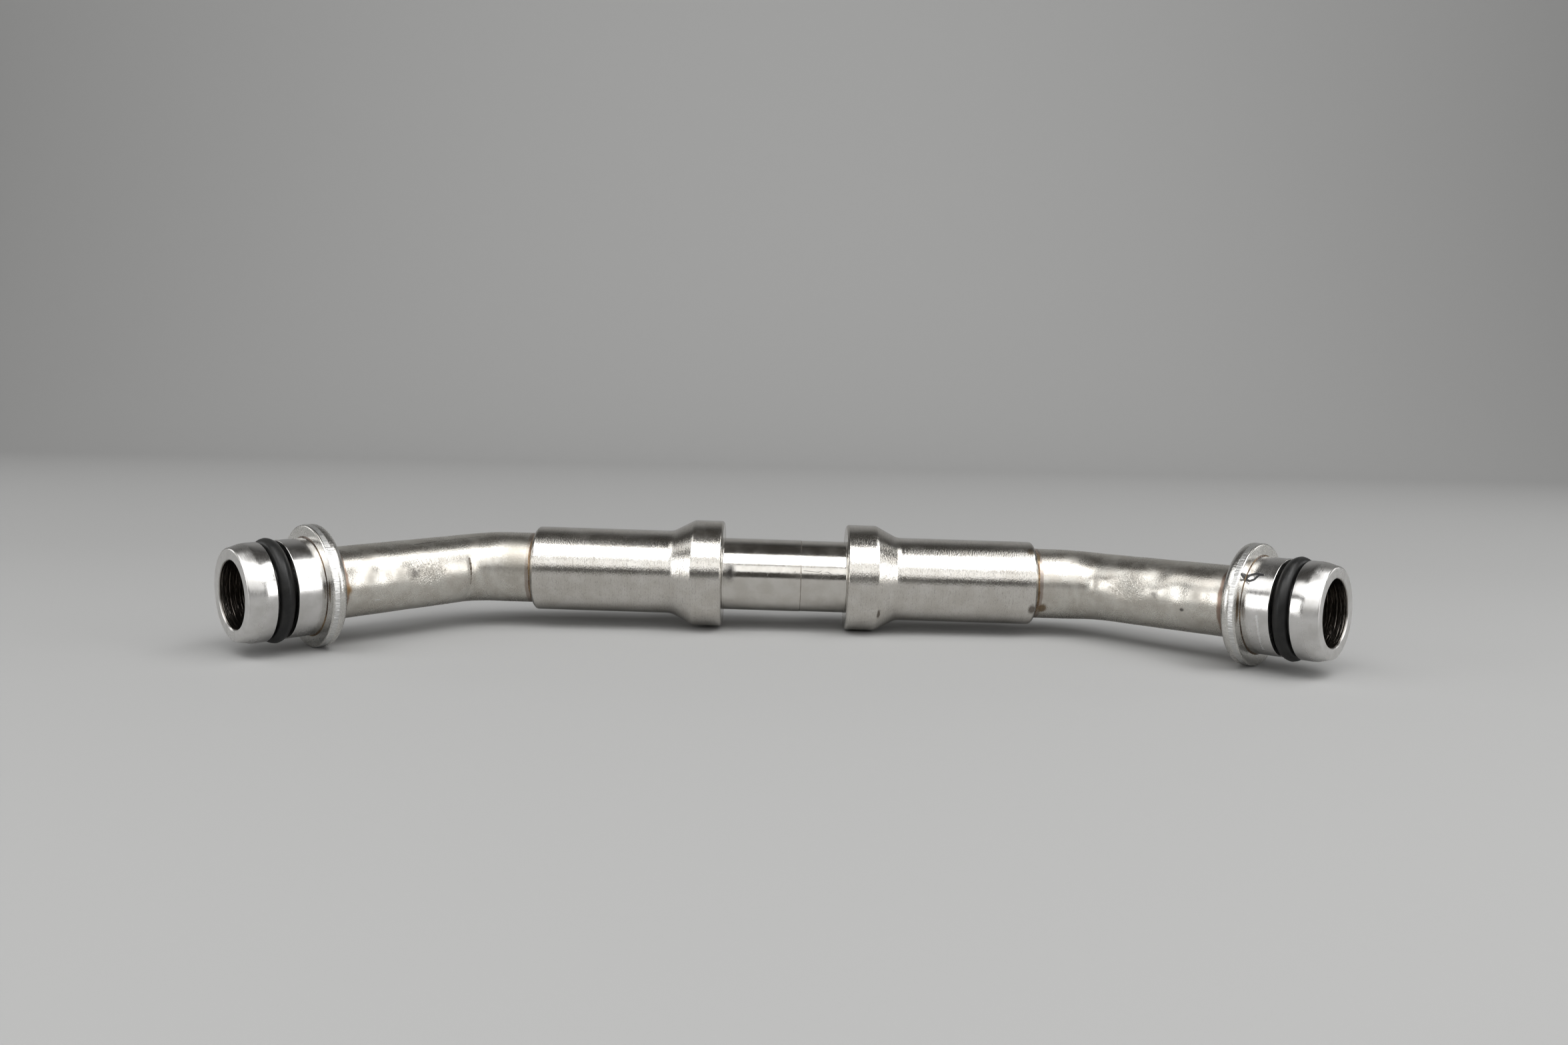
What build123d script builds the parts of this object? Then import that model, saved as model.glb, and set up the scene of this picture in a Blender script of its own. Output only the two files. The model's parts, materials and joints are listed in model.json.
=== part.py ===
from build123d import *
import math
import os

# Breather pipe: one turned centre body with two collars, a bent tube brazed into each end of it,
# and on each tube a turned plug-in spigot with a stamped flange ring and a sealing ring.
# Millimetres. While it is built the straight axis is X and the tubes bend towards -Y.

# Centre body
waist_diameter = 12.9
waist_length = 22.0
pass_line_offset = 3.0
pass_step = 0.05
collar_diameter = 19.0
collar_width = 5.3
collar_chamfer = 0.35
cone_length = 3.9
sleeve_diameter = 14.9
sleeve_length = 24.5
sleeve_chamfer = 0.45
tube_socket_depth = 18.0

# Bent tubes
tube_diameter = 12.5
tube_wall = 1.0
drawn_diameter = 11.9
tube_lead = 5.1
bend_radius = 12.0
bend_angle = 45.0
tube_tail = 24.3
end_twist = 2.4
dent_depth = 0.25
dent_radius = 10.0
# distance along the tail from the bend, and angle above the inner side
dent_places = ((5.6, 8.0), (9.4, 18.0))

# Spigots, measured along their own axis from the front face of the flange ring
spigot_diameter = 15.8
spigot_bore = 10.8
seat_length = 4.4
groove_width = 3.1
groove_diameter = 12.0
land_length = 2.0
nose_length = 2.2
nose_diameter = 14.6
nose_edge_radius = 0.25
mouth_chamfer = 0.25
spigot_socket_depth = 3.2

# Flange rings and sealing rings
flange_overhang = 2.1
flange_thickness = 2.5
flange_roll_radius = 0.9
flange_burr = 0.12
flange_countersink = 0.2
seal_section = 2.3

# Brazed joints
braze_clearance = 0.05
sleeve_fillet = 0.4
tail_fillet = 0.6

# Places along the straight axis, from the middle of the waist
collar_start = waist_length / 2
cone_start = collar_start + collar_width
sleeve_start = cone_start + cone_length
body_end = sleeve_start + sleeve_length
socket_floor = body_end - tube_socket_depth
bend_start = body_end + tube_lead
tube_bore = tube_diameter - 2 * tube_wall
flange_diameter = spigot_diameter + 2 * flange_overhang

# Places along the spigot axis, from the front face of the flange ring
flange_back = -flange_thickness
groove_back = seat_length
groove_front = groove_back + groove_width
land_end = groove_front + land_length
mouth = land_end + nose_length
tube_stop = flange_back + spigot_socket_depth


def turned(outline):
    # a round piece from its half section, given as points (along X, radius)
    return revolve(make_face(Polyline(*outline, close=True)), Axis.X)


def outer_edge(piece, end):
    # the largest circle on the first (0) or the last (-1) face of a round piece along X
    return piece.edges().filter_by(GeomType.CIRCLE).group_by(Axis.X)[end].sort_by(SortBy.RADIUS)[-1]


def both_ends(right_half):
    # a half section repeated in mirror image on the other side of the middle
    return right_half + [(-x, r) for x, r in reversed(right_half)]


def centre_body():
    waist = waist_diameter / 2
    collar = collar_diameter / 2
    sleeve = sleeve_diameter / 2
    outside = both_ends([
        (collar_start, waist),
        (collar_start, collar - collar_chamfer),
        (collar_start + collar_chamfer, collar),
        (cone_start, collar),
        (sleeve_start, sleeve),
        (body_end - sleeve_chamfer, sleeve),
        (body_end, sleeve - sleeve_chamfer),
        (body_end, 0),
    ])
    body = turned(outside)
    # the last turning pass on the right runs a little deeper, up to the line where the passes meet
    pass_ring = turned([
        (pass_line_offset, waist + pass_step),
        (collar_start, waist + pass_step),
        (collar_start, waist - pass_step),
        (pass_line_offset, waist - pass_step),
    ])
    socket = tube_diameter / 2 + braze_clearance
    bore = turned(both_ends([
        (socket_floor, tube_bore / 2),
        (socket_floor, socket),
        (body_end, socket),
        (body_end, 0),
    ]))
    return body - pass_ring - bore


def axis_path():
    # the centre line of the right-hand tube: into the sleeve, round the bend, into the spigot
    lead = Line((socket_floor, 0), (bend_start, 0))
    bend = JernArc(lead @ 1, lead % 1, bend_radius, -bend_angle)
    tail = PolarLine(bend @ 1, tube_tail + spigot_socket_depth, direction=bend % 1)
    return lead, bend, tail


def tube_core(lead_diameter, tail_diameter):
    # the bend is drawn down from the lead's diameter to the tail's
    lead, bend, tail = axis_path()
    lead_ring = Plane(lead @ 0, z_dir=lead % 0) * Circle(lead_diameter / 2)
    bend_rings = [
        Plane(bend @ 0, z_dir=bend % 0) * Circle(lead_diameter / 2),
        Plane(bend @ 1, z_dir=bend % 1) * Circle(tail_diameter / 2),
    ]
    tail_ring = Plane(tail @ 0, z_dir=tail % 0) * Circle(tail_diameter / 2)
    return (
        extrude(lead_ring, lead.length)
        + sweep(bend_rings, bend, multisection=True)
        + extrude(tail_ring, tail.length)
    )


def bent_tube():
    outside = tube_core(tube_diameter, drawn_diameter)
    inside = tube_core(tube_bore, drawn_diameter - 2 * tube_wall)
    return outside - inside


def pressed_dents():
    # shallow hollows that the bending tool left on the inner side of the tail
    tail = axis_path()[2]
    inner_side = Vector(tail % 0).rotate(Axis.Z, -90)
    reach = drawn_diameter / 2 - dent_depth + dent_radius
    dents = []
    for along, angle in dent_places:
        outwards = inner_side * math.cos(math.radians(angle)) + Vector(0, 0, math.sin(math.radians(angle)))
        centre = (tail @ 0) + (tail % 0) * along + outwards * reach
        dents.append(Pos(*centre) * Sphere(dent_radius))
    return dents


def spigot():
    seat = spigot_diameter / 2
    groove = groove_diameter / 2
    socket = drawn_diameter / 2 + braze_clearance
    bore = spigot_bore / 2
    blank = turned([
        (flange_back, socket),
        (flange_back, seat),
        (groove_back, seat),
        (groove_back, groove),
        (groove_front, groove),
        (groove_front, seat),
        (land_end, seat),
        (mouth, nose_diameter / 2),
        (mouth, bore + mouth_chamfer),
        (mouth - mouth_chamfer, bore),
        (tube_stop, bore),
        (tube_stop, socket),
    ])
    return fillet(outer_edge(blank, -1), nose_edge_radius)


def flange_ring():
    hole = spigot_diameter / 2 + braze_clearance
    rim = flange_diameter / 2
    blank = turned([
        (flange_back, hole),
        (flange_back, rim),
        (-flange_burr, rim),
        (0, rim - flange_burr),
        (0, hole + flange_countersink),
        (-flange_countersink, hole),
    ])
    # the punch rolled the edge of the back face over
    return fillet(outer_edge(blank, 0), flange_roll_radius)


def seal_ring():
    centre = (groove_back + groove_front) / 2
    section_radius = seal_section / 2
    ring_radius = groove_diameter / 2 + braze_clearance + section_radius
    section = Pos(centre, ring_radius) * Circle(section_radius)
    return revolve(section, Axis.X)


def corner_fillet(place, size, tube_radius, direction):
    # a ring of filler metal in the corner between a tube and the face that it comes out of
    return turned([
        (place, tube_radius),
        (place + direction * size, tube_radius),
        (place, tube_radius + size),
    ])


def countersink_filler():
    # the filler metal that closes the countersink of the flange ring
    spigot_side = spigot_diameter / 2
    ring_side = spigot_side + braze_clearance
    return turned([
        (0, spigot_side),
        (-flange_countersink, spigot_side),
        (-flange_countersink, ring_side),
        (0, ring_side + flange_countersink),
    ])


def right_end_pieces():
    # the spigot end is turned about X and then set at the end of the bent tube
    bend, tail = axis_path()[1:]
    flange_front = (bend @ 1) + (tail % 0) * (tube_tail + flange_thickness)
    seat = Plane(flange_front, x_dir=tail % 0, z_dir=(0, 0, 1)).location
    return {
        "spigot": seat * spigot(),
        "flange_ring": seat * flange_ring(),
        "seal_ring": seat * seal_ring(),
        "flange_braze": seat * countersink_filler(),
        "tail_braze": seat * corner_fillet(flange_back, tail_fillet, drawn_diameter / 2, -1),
    }


def all_pieces():
    right = {"tube": bent_tube()}
    right["sleeve_braze"] = corner_fillet(body_end, sleeve_fillet, tube_diameter / 2, 1)
    right.update(right_end_pieces())
    left = {name: mirror(piece, Plane.YZ) for name, piece in right.items()}
    for dent in pressed_dents():
        right["tube"] -= dent
    # the tubes were brazed in a little out of line: the right end stands up, the left one hangs down
    pieces = {"centre_body": centre_body()}
    for name in right:
        pieces["left_" + name] = Rotation(end_twist, 0, 0) * left[name]
        pieces["right_" + name] = Rotation(-end_twist, 0, 0) * right[name]
    return pieces


def rest_location(pieces):
    # the part lies on the rims of both flange rings and on the collar nearer to the raised end
    angle = math.radians(bend_angle)
    to_rim = tube_tail + flange_thickness / 2
    rim_offset = bend_radius * (1 - math.cos(angle)) + to_rim * math.sin(angle)
    rim_reach = bend_start + bend_radius * math.sin(angle) + to_rim * math.cos(angle)
    lean_slope = rim_offset * math.sin(math.radians(end_twist)) / rim_reach
    tip_slope = ((flange_diameter - collar_diameter) / 2 - lean_slope * cone_start) / rim_offset
    tipped = Rotation(-math.degrees(math.atan(tip_slope)), math.degrees(math.atan(lean_slope)), 0)
    box = (tipped * Compound(list(pieces.values()))).bounding_box()
    centre = box.center()
    return Pos(-centre.X, -centre.Y, -box.min.Z) * tipped


pieces = all_pieces()
at_rest = rest_location(pieces)
os.makedirs("parts", exist_ok=True)
for name, piece in pieces.items():
    export_step(at_rest * piece, f"parts/{name}.step")
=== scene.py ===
import json
import math

import bmesh
import bpy
from mathutils import Matrix, Vector, noise


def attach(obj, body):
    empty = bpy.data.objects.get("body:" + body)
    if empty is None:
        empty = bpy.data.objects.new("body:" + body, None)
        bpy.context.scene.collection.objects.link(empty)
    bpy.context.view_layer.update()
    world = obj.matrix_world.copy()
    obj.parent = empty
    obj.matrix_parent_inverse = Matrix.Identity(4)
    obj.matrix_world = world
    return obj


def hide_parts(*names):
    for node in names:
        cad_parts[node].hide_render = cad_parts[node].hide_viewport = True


# Breather pipe: every piece of the CAD model again, finer and with its finish. Sizes are in millimetres.
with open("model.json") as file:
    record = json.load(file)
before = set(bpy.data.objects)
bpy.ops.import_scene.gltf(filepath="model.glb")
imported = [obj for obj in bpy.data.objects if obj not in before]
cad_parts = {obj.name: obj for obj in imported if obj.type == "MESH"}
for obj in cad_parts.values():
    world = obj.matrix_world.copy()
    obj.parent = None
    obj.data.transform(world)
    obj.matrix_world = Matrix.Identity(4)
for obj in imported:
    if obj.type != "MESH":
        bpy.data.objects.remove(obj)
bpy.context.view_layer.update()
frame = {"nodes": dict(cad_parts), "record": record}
mounts = {mount["name"]: mount for mount in frame["record"]["mounts"]}
print("frame loaded:", len(frame["nodes"]), "nodes")

mm = 0.001
fullTurn = 2 * math.pi
straightLayer = "straight"  # where a point of a bent tube lay before the tube was bent


# Places

def placeOf(origin, along, towards):
    # local X runs along, local Y leans towards
    x = Vector(along).normalized()
    y = Vector(towards)
    y = (y - x * x.dot(y)).normalized()
    return Matrix.Translation(origin) @ Matrix((x, y, x.cross(y))).transposed().to_4x4()


def onRound(along, radius, degrees):
    # a point of a round piece; the angle starts at local Y and turns towards local Z
    angle = math.radians(degrees)
    return Vector((along, radius * math.cos(angle), radius * math.sin(angle)))


def onFront(along, radius, above):
    # a point on the near side of the centre body, at an angle above the horizontal
    return onRound(along, radius, 180 - above)


def degreesOf(point):
    return math.degrees(math.atan2(point.z, point.y))


def pushOut(point, distance):
    # moves a point of a round piece away from the axis
    radius = math.hypot(point.y, point.z)
    grow = (radius + distance) / radius
    return Vector((point.x, point.y * grow, point.z * grow))


# Shapes

def outlineOf(corners, rounding=4):
    # a closed outline from corners of (along, radius, corner radius)
    bm = bmesh.new()
    verts = [bm.verts.new((along, radius, 0)) for along, radius, corner in corners]
    bm.faces.new(verts)
    for vert, (along, radius, corner) in zip(verts, corners):
        if corner:
            bmesh.ops.bevel(bm, geom=[vert], offset=corner, offset_type="OFFSET", segments=rounding,
                            profile=0.5, affect="VERTICES", material=-1)
    bmesh.ops.delete(bm, geom=bm.faces[:], context="FACES_ONLY")
    return bm


def splitRun(bm, radius, cuts):
    # more points on the outline's run at this radius
    run = [edge for edge in bm.edges if all(abs(vert.co.y - radius) < 1e-4 for vert in edge.verts)]
    bmesh.ops.subdivide_edges(bm, edges=run, cuts=cuts)


def spinOutline(bm, steps):
    bmesh.ops.spin(bm, geom=bm.verts[:] + bm.edges[:], cent=(0, 0, 0), axis=(1, 0, 0), angle=fullTurn,
                   steps=steps, use_merge=True)
    bmesh.ops.recalc_face_normals(bm, faces=bm.faces[:])


def finishPiece(bm, name, place, material, node, sharp=32):
    bmesh.ops.transform(bm, matrix=place @ Matrix.Scale(mm, 4), verts=bm.verts[:])
    mesh = bpy.data.meshes.new(name)
    bm.to_mesh(mesh)
    bm.free()
    mesh.shade_smooth()
    mesh.set_sharp_from_angle(angle=math.radians(sharp))
    mesh.materials.append(material)
    piece = bpy.data.objects.new(name, mesh)
    bpy.context.scene.collection.objects.link(piece)
    weights = piece.modifiers.new("faceWeights", "WEIGHTED_NORMAL")  # wide faces keep their true normals
    weights.keep_sharp = True
    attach(piece, "root")
    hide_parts(node)


# Node helpers

def put(tree, kind, inputs=None, **settings):
    # adds a node; each input is a value, or a socket to link
    node = tree.nodes.new(kind)
    for setting, value in settings.items():
        setattr(node, setting, value)
    for socket, value in (inputs or {}).items():
        if isinstance(value, bpy.types.NodeSocket):
            tree.links.new(value, node.inputs[socket])
        else:
            node.inputs[socket].default_value = value
    return node


def calc(tree, operation, *values):
    return put(tree, "ShaderNodeMath", dict(enumerate(values)), operation=operation).outputs[0]


def calcVector(tree, operation, *values):
    node = put(tree, "ShaderNodeVectorMath", dict(enumerate(values)), operation=operation)
    return node.outputs["Value" if operation in ("LENGTH", "DOT_PRODUCT") else "Vector"]


def blendValue(tree, factor, a, b):
    return put(tree, "ShaderNodeMix", {0: factor, 2: a, 3: b}, data_type="FLOAT").outputs[0]


def blendColour(tree, factor, a, b):
    return put(tree, "ShaderNodeMix", {0: factor, 6: a, 7: b}, data_type="RGBA").outputs[2]


def rescale(tree, value, fromLow, fromHigh, toLow=0.0, toHigh=1.0):
    sockets = {"Value": value, "From Min": fromLow, "From Max": fromHigh, "To Min": toLow, "To Max": toHigh}
    return put(tree, "ShaderNodeMapRange", sockets, interpolation_type="SMOOTHSTEP").outputs[0]


def noiseValue(tree, vector, scale, detail=2.0, roughness=0.5):
    sockets = {"Vector": vector, "Scale": scale, "Detail": detail, "Roughness": roughness}
    return put(tree, "ShaderNodeTexNoise", sockets).outputs[0]


def newGroup(name, inputs, outputs):
    tree = bpy.data.node_groups.new(name, "ShaderNodeTree")
    for label, value in inputs.items():
        kind = "NodeSocketVector" if isinstance(value, tuple) else "NodeSocketFloat"
        socket = tree.interface.new_socket(label, in_out="INPUT", socket_type=kind)
        socket.default_value = value
    for label, kind in outputs.items():
        tree.interface.new_socket(label, in_out="OUTPUT", socket_type=kind)
    return tree, tree.nodes.new("NodeGroupInput").outputs, tree.nodes.new("NodeGroupOutput").inputs


# Effects that several finishes share

def stretched(tree, vector, along, around):
    # coordinates for a pattern with one size along the piece and another round it
    shares = [calc(tree, "DIVIDE", 1.0, size) for size in (along, around)]
    scale = put(tree, "ShaderNodeCombineXYZ", {0: shares[0], 1: shares[1], 2: shares[1]}).outputs[0]
    return calcVector(tree, "MULTIPLY", vector, scale)


effects = {
    "toolLineLength": 6.0, "patchScale": 0.35, "spotRaggedScale": 2.2, "strokeRaggedScale": 4.0,
    "strokeEdge": 0.75, "tintRaggedScale": 0.5, "tintEdge": 0.85, "dustScale": 5.0, "tintMiddleAt": 0.6,
    "tintNear": (0.24, 0.14, 0.08, 1), "tintMiddle": (0.13, 0.065, 0.045, 1),
    "tintFar": (0.26, 0.18, 0.13, 1),
}


def makeGrain():
    # fine pits and the lines that the cutting tool leaves round a turned piece
    tree, given, out = newGroup("metalGrain", {
        "Vector": (0.0, 0.0, 0.0), "Pit Size": 0.3, "Pit Length": 0.3,
        "Line Pitch": 0.12, "Line Share": 0.3,
    }, {"Height": "NodeSocketFloat", "Patches": "NodeSocketFloat"})
    acrossPits = stretched(tree, given["Vector"], given["Pit Size"], given["Pit Length"])
    pits = noiseValue(tree, acrossPits, 1.0, 2.0, 0.6)
    acrossLines = stretched(tree, given["Vector"], given["Line Pitch"], effects["toolLineLength"])
    lines = noiseValue(tree, acrossLines, 1.0, 3.0, 0.6)
    tree.links.new(blendValue(tree, given["Line Share"], pits, lines), out["Height"])
    patches = noiseValue(tree, given["Vector"], effects["patchScale"], 3.0, 0.6)
    tree.links.new(rescale(tree, patches, 0.32, 0.68), out["Patches"])
    return tree


def unevenness(tree, vector, scale):
    # noise about zero, which makes an edge ragged
    return calc(tree, "SUBTRACT", noiseValue(tree, vector, scale, 3.0, 0.6), 0.5)


def makeSpot():
    # a soft-edged spot, long or round
    tree, given, out = newGroup("softSpot", {
        "Vector": (0.0, 0.0, 0.0), "Centre": (0.0, 0.0, 0.0), "Size": (1.0, 1.0, 1.0),
        "Softness": 0.3, "Raggedness": 0.3,
    }, {"Mask": "NodeSocketFloat"})
    offset = calcVector(tree, "SUBTRACT", given["Vector"], given["Centre"])
    reach = calcVector(tree, "LENGTH", calcVector(tree, "DIVIDE", offset, given["Size"]))
    rough = unevenness(tree, given["Vector"], effects["spotRaggedScale"])
    ragged = calc(tree, "MULTIPLY_ADD", rough, calc(tree, "MULTIPLY", given["Raggedness"], 2.0), reach)
    inside = calc(tree, "SUBTRACT", 1.0, given["Softness"])
    tree.links.new(rescale(tree, ragged, 1.0, inside), out["Mask"])
    return tree


def makeStroke():
    # a drawn or scratched line between two points
    tree, given, out = newGroup("strokeMark", {
        "Vector": (0.0, 0.0, 0.0), "Start": (0.0, 0.0, 0.0), "End": (1.0, 0.0, 0.0),
        "Width": 0.2, "Raggedness": 0.3,
    }, {"Mask": "NodeSocketFloat"})
    line = calcVector(tree, "SUBTRACT", given["End"], given["Start"])
    offset = calcVector(tree, "SUBTRACT", given["Vector"], given["Start"])
    share = calc(tree, "DIVIDE", calcVector(tree, "DOT_PRODUCT", offset, line),
                 calcVector(tree, "DOT_PRODUCT", line, line))
    held = put(tree, "ShaderNodeClamp", {"Value": share}).outputs[0]
    scaled = put(tree, "ShaderNodeVectorMath", {0: line, "Scale": held}, operation="SCALE")
    away = calcVector(tree, "LENGTH", calcVector(tree, "SUBTRACT", offset, scaled.outputs["Vector"]))
    rough = unevenness(tree, given["Vector"], effects["strokeRaggedScale"])
    wander = calc(tree, "MULTIPLY", given["Raggedness"], given["Width"])
    ragged = calc(tree, "MULTIPLY_ADD", rough, wander, away)
    half = calc(tree, "MULTIPLY", given["Width"], 0.5)
    core = calc(tree, "MULTIPLY", half, effects["strokeEdge"])
    tree.links.new(rescale(tree, ragged, half, core), out["Mask"])
    return tree


def makeHeatTint():
    # the colours that heat leaves beside a brazed joint, strongest next to it
    tree, given, out = newGroup("heatTint", {
        "Vector": (0.0, 0.0, 0.0), "Distance": 0.0, "Reach": 1.5, "Raggedness": 0.3,
    }, {"Color": "NodeSocketColor", "Mask": "NodeSocketFloat"})
    rough = unevenness(tree, given["Vector"], effects["tintRaggedScale"])
    ragged = calc(tree, "MULTIPLY", rough, calc(tree, "MULTIPLY", given["Raggedness"], given["Reach"]))
    share = calc(tree, "DIVIDE", calc(tree, "ADD", given["Distance"], ragged), given["Reach"])
    ramp = put(tree, "ShaderNodeValToRGB", {"Fac": share})
    ramp.color_ramp.elements[0].color = effects["tintNear"]
    ramp.color_ramp.elements[1].color = effects["tintFar"]
    ramp.color_ramp.elements.new(effects["tintMiddleAt"]).color = effects["tintMiddle"]
    tree.links.new(ramp.outputs["Color"], out["Color"])
    tree.links.new(rescale(tree, share, 1.0, effects["tintEdge"]), out["Mask"])
    return tree


def makeFilm():
    # a faint uneven film of handling and dust
    tree, given, out = newGroup("handlingFilm", {
        "Vector": (0.0, 0.0, 0.0), "Size": 4.0, "Cover": 0.5,
    }, {"Mask": "NodeSocketFloat"})
    wide = noiseValue(tree, given["Vector"], calc(tree, "DIVIDE", 1.0, given["Size"]), 4.0, 0.62)
    fine = noiseValue(tree, given["Vector"], effects["dustScale"], 2.0, 0.5)
    both = calc(tree, "MULTIPLY", rescale(tree, wide, 0.42, 0.66), rescale(tree, fine, 0.3, 0.7, 0.55, 1.0))
    tree.links.new(calc(tree, "MULTIPLY", both, given["Cover"]), out["Mask"])
    return tree


groups = {
    "grain": makeGrain(), "spot": makeSpot(), "stroke": makeStroke(),
    "heat": makeHeatTint(), "film": makeFilm(),
}
print("shared effects made:", len(groups))


# Finishes

class Finish:
    # a material being built up: its tree, coordinates, and the values that marks change
    def __init__(self, name, place):
        self.material = bpy.data.materials.new(name)
        self.material.use_nodes = True
        self.tree = self.material.node_tree
        self.tree.nodes.clear()
        if place is None:
            # a bent piece has no place: its pattern follows the layer that holds its straight form
            layer = put(self.tree, "ShaderNodeAttribute", attribute_name=straightLayer)
            self.where = layer.outputs["Vector"]
        else:
            back = place.inverted()
            sockets = {"Scale": (1 / mm, 1 / mm, 1 / mm), "Rotation": back.to_euler(),
                       "Location": back.translation / mm}
            sockets["Vector"] = put(self.tree, "ShaderNodeTexCoord").outputs["Object"]
            self.where = put(self.tree, "ShaderNodeMapping", sockets, vector_type="POINT").outputs[0]

    def group(self, name, **inputs):
        node = put(self.tree, "ShaderNodeGroup", node_tree=groups[name])
        for label, value in {"Vector": self.where, **inputs}.items():
            socket = node.inputs[label.replace("_", " ")]
            if isinstance(value, bpy.types.NodeSocket):
                self.tree.links.new(value, socket)
            else:
                socket.default_value = value
        return node.outputs

    def cover(self, mask, colour, roughness, metallic, amount):
        # lays a colour and its gloss over the surface where the mask is white
        share = calc(self.tree, "MULTIPLY", mask, amount)
        self.colour = blendColour(self.tree, share, self.colour, colour)
        self.roughness = blendValue(self.tree, share, self.roughness, roughness)
        if metallic != self.metallic:
            self.metallic = blendValue(self.tree, share, self.metallic, metallic)

    def finish(self, bumpDepth, **fixed):
        sockets = {"Strength": 1.0, "Distance": bumpDepth * mm, "Height": self.height}
        bump = put(self.tree, "ShaderNodeBump", sockets)
        shader = put(self.tree, "ShaderNodeBsdfPrincipled", {
            "Base Color": self.colour, "Roughness": self.roughness, "Metallic": self.metallic,
            "Normal": bump.outputs[0], **fixed,
        })
        put(self.tree, "ShaderNodeOutputMaterial", {"Surface": shader.outputs[0]})
        return self.material


filmLook = {"size": 5.0, "metallic": -0.04}
# painted shade in the fine pits: colour and gloss for the lowest points of the grain
pitShadeLook = {"colour": (0.17, 0.155, 0.14, 1), "roughness": 0.45, "metallic": 0.9, "from": 0.49, "to": 0.37}
# the dark colour inside the bores is painted shade
boreShadeLook = {
    "colour": (0.15, 0.13, 0.11, 1), "roughness": 0.22, "start": 0.16, "full": 0.06,
    "ridgeWidth": 0.35, "ridgeLength": 8.0, "ridgeLow": -0.5, "ridgeHigh": 1.5, "thick": 1.0, "thin": 0.84,
}


def steel(name, look, place, marks, extra):
    made = Finish(name, place)
    tree = made.tree
    grain = made.group("grain", Pit_Size=look["pitSize"], Pit_Length=look["pitLength"],
                       Line_Pitch=look["linePitch"], Line_Share=look["lineShare"])
    film = made.group("film", Size=filmLook["size"], Cover=1.0)["Mask"]
    made.height = grain["Height"]
    made.colour = blendColour(tree, grain["Patches"], look["light"], look["dark"])
    rough = rescale(tree, grain["Height"], 0.35, 0.7, look["roughness"], look["roughness"] + look["spread"])
    made.roughness = calc(tree, "MULTIPLY_ADD", film, look["spread"], rough)
    made.metallic = calc(tree, "MULTIPLY_ADD", film, filmLook["metallic"], 1.0)
    extra(made)
    # painted shade: the lowest points of the grain get a darker colour
    made.cover(rescale(tree, made.height, pitShadeLook["from"], pitShadeLook["to"]), pitShadeLook["colour"],
               pitShadeLook["roughness"], pitShadeLook["metallic"], look["pits"])
    for mark in marks:
        addMark(made, mark)
    return made.finish(look["depth"])


def alongAndAcross(made):
    # the distances along the piece's own axis and away from it
    parts = put(made.tree, "ShaderNodeSeparateXYZ", {0: made.where}).outputs
    flat = put(made.tree, "ShaderNodeCombineXYZ", {0: 0.0, 1: parts[1], 2: parts[2]}).outputs[0]
    return parts[0], calcVector(made.tree, "LENGTH", flat)


def paintedBoreShade(made, radius):
    # painted shade inside a bore: a dark colour laid over its wall, with turned ridges in the bump
    look, tree = boreShadeLook, made.tree
    inside = rescale(tree, alongAndAcross(made)[1], radius + look["start"], radius + look["full"])
    rings = stretched(tree, made.where, look["ridgeWidth"], look["ridgeLength"])
    turned = noiseValue(tree, rings, 1.0, 3.0, 0.6)
    ridges = rescale(tree, turned, 0.3, 0.7, look["ridgeLow"], look["ridgeHigh"])
    made.height = blendValue(tree, inside, made.height, ridges)
    amount = rescale(tree, turned, 0.40, 0.60, look["thick"], look["thin"])
    made.cover(inside, look["colour"], look["roughness"], 1.0, amount)


# the colours and gloss of dirt, scorching and wear, and of painted shade and a painted reflection
marksOf = {
    "scorch": {"colour": (0.075, 0.055, 0.038, 1), "roughness": 0.5, "metallic": 0.7},
    "stain": {"colour": (0.15, 0.10, 0.05, 1), "roughness": 0.24, "metallic": 0.95},
    # soot on scratches and a pit, and also painted shade in the soft clouds on the tubes
    "soot": {"colour": (0.05, 0.046, 0.043, 1), "roughness": 0.38, "metallic": 0.7},
    # painted reflection: a dark colour standing in for the collar face mirrored in the waist
    "paintedCollarReflection": {"colour": (0.035, 0.032, 0.03, 1), "roughness": 0.30, "metallic": 0.85},
    "rub": {"colour": (0.80, 0.80, 0.80, 1), "roughness": 0.42, "metallic": 0.95},
    "ink": {"colour": (0.012, 0.012, 0.013, 1), "roughness": 0.42, "metallic": 0.0},
    "rough": {"colour": (0.50, 0.475, 0.43, 1), "roughness": 0.52, "metallic": 1.0},
    "dull": {"colour": (0.40, 0.375, 0.33, 1), "roughness": 0.40, "metallic": 1.0},
    "gold": {"colour": (0.30, 0.195, 0.10, 1), "roughness": 0.32, "metallic": 1.0},
}


def addMark(made, mark):
    # a mark is a stroke if it has an end, and otherwise a spot
    paint = marksOf[mark["kind"]]
    if "to" in mark:
        mask = made.group("stroke", Start=mark["at"], End=mark["to"], Width=mark["size"],
                          Raggedness=mark.get("ragged", 0.5))["Mask"]
    else:
        mask = made.group("spot", Centre=mark["at"], Size=mark["size"], Raggedness=mark.get("ragged", 0.25),
                          Softness=mark.get("soft", 0.6))["Mask"]
    made.cover(mask, paint["colour"], paint["roughness"], paint["metallic"], mark.get("amount", 1.0))


# Centre body

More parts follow.
